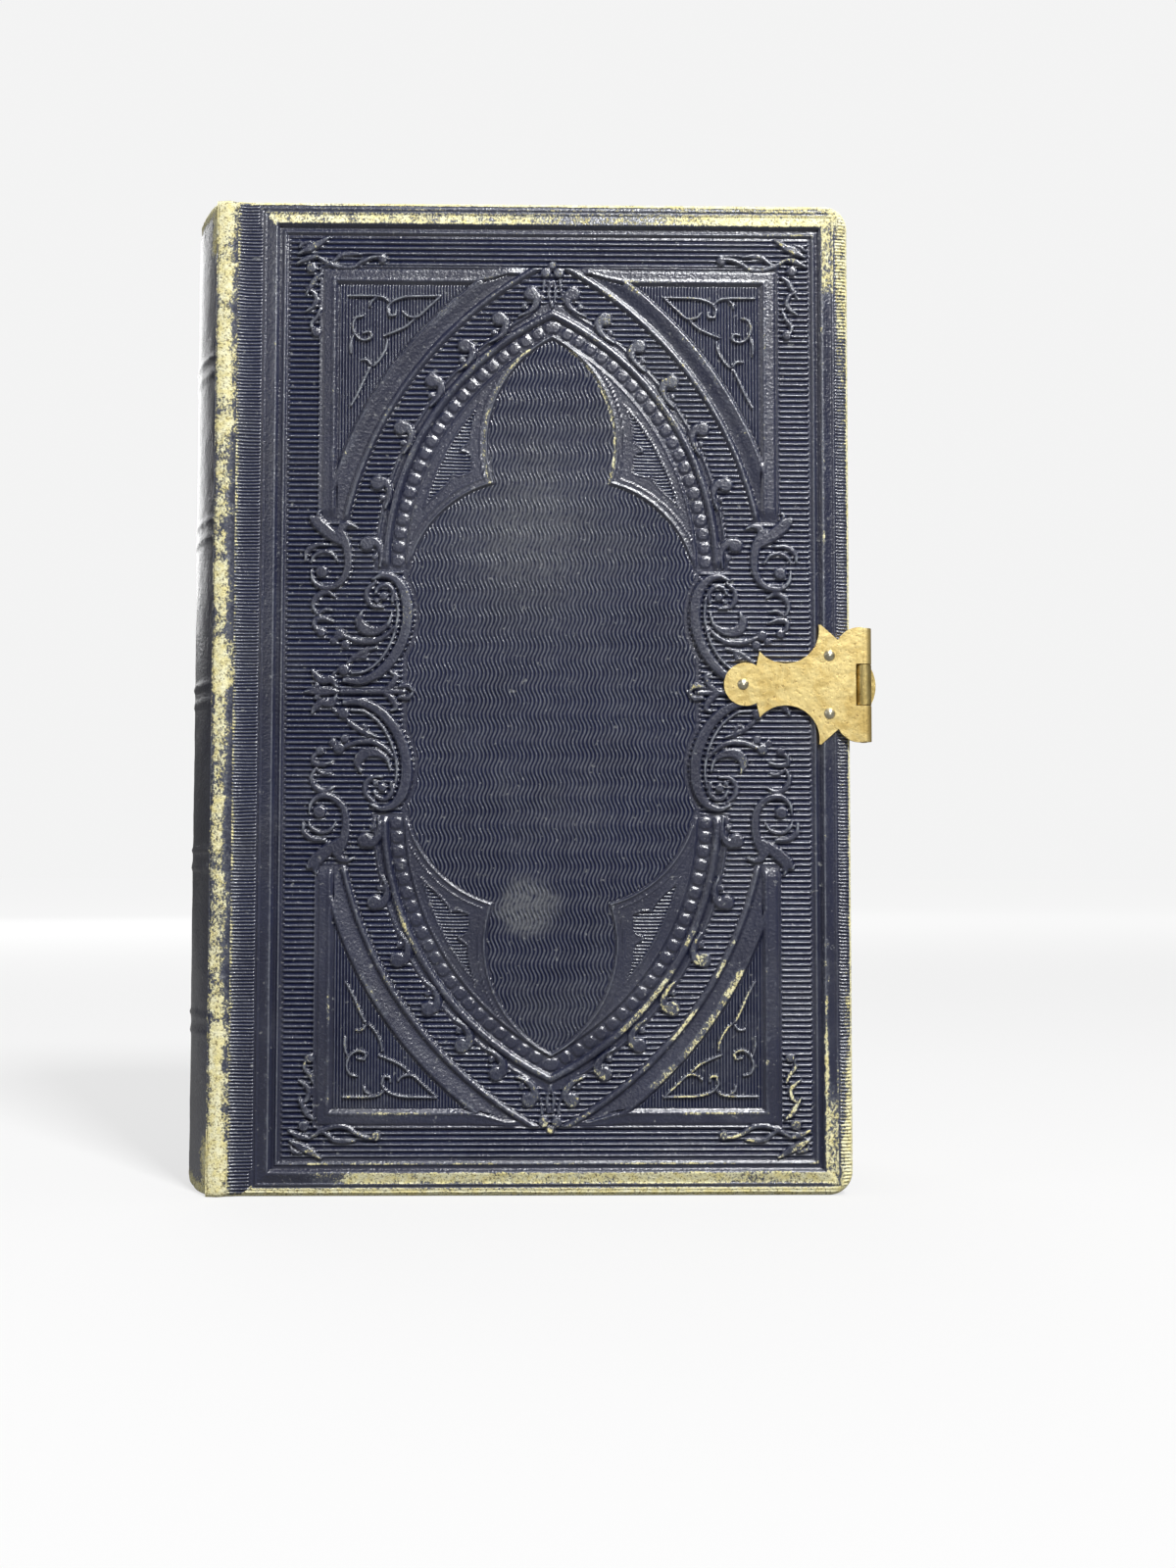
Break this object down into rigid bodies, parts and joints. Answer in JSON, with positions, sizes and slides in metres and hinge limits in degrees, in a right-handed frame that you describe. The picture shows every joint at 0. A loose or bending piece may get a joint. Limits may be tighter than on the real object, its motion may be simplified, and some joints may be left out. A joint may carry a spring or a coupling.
{
  "type": "antique leather book",
  "caption": "Thick antique prayer-book-size volume in dark blind-stamped leather, with hinged covers and a brass clasp that hinges on the front cover and hooks on the back one.",
  "frame": {"origin": "middle of the footprint's box, on the surface the book stands on", "axes": "+Z from the tail to the head of the upright book, -Y out of the front cover, -X out of the spine, +X out of the fore-edge and the clasp"},
  "size_m": [0.1093, 0.0392, 0.152],
  "materials": {
    "leather": "worn goat or sheep leather, blind stamped, dyed dark navy",
    "boards": "millboard",
    "paper": "aged, toned paper",
    "endpaper": "aged plain endpaper",
    "bands": "sewn cotton or silk bands",
    "brass": "aged brass",
    "rivets": "pale rubbed brass"
  },
  "bodies": {
    "block": {"text_block": "paper", "spine_leather": "leather", "head_band": "bands", "tail_band": "bands"},
    "front_cover": {"front_board": "boards", "front_leather": "leather", "front_pastedown": "endpaper", "front_clasp_plate": "brass", "hinge_pin": "brass", "front_rivet_inner": "rivets", "front_rivet_upper": "rivets", "front_rivet_lower": "rivets"},
    "strap": {"clasp_strap": "brass"},
    "back_cover": {"back_board": "boards", "back_leather": "leather", "back_pastedown": "endpaper", "back_clasp_plate": "brass", "catch_bar": "brass", "back_rivet_inner": "rivets", "back_rivet_upper": "rivets", "back_rivet_lower": "rivets"}
  },
  "joints": [
    {"name": "front_joint", "type": "hinge", "parent": "block", "child": "front_cover", "pos_m": [-0.0454, -0.0188, 0.076], "axis": [0, 0, -1], "range_deg": [0, 180]},
    {"name": "back_joint", "type": "hinge", "parent": "block", "child": "back_cover", "pos_m": [-0.0454, 0.0188, 0.076], "axis": [0, 0, 1], "range_deg": [0, 180]},
    {"name": "strap_hinge", "type": "hinge", "parent": "front_cover", "child": "strap", "pos_m": [0.0508, -0.01795, 0.07725], "axis": [0, 0, -1], "range_deg": [-3, 170]}
  ]
}
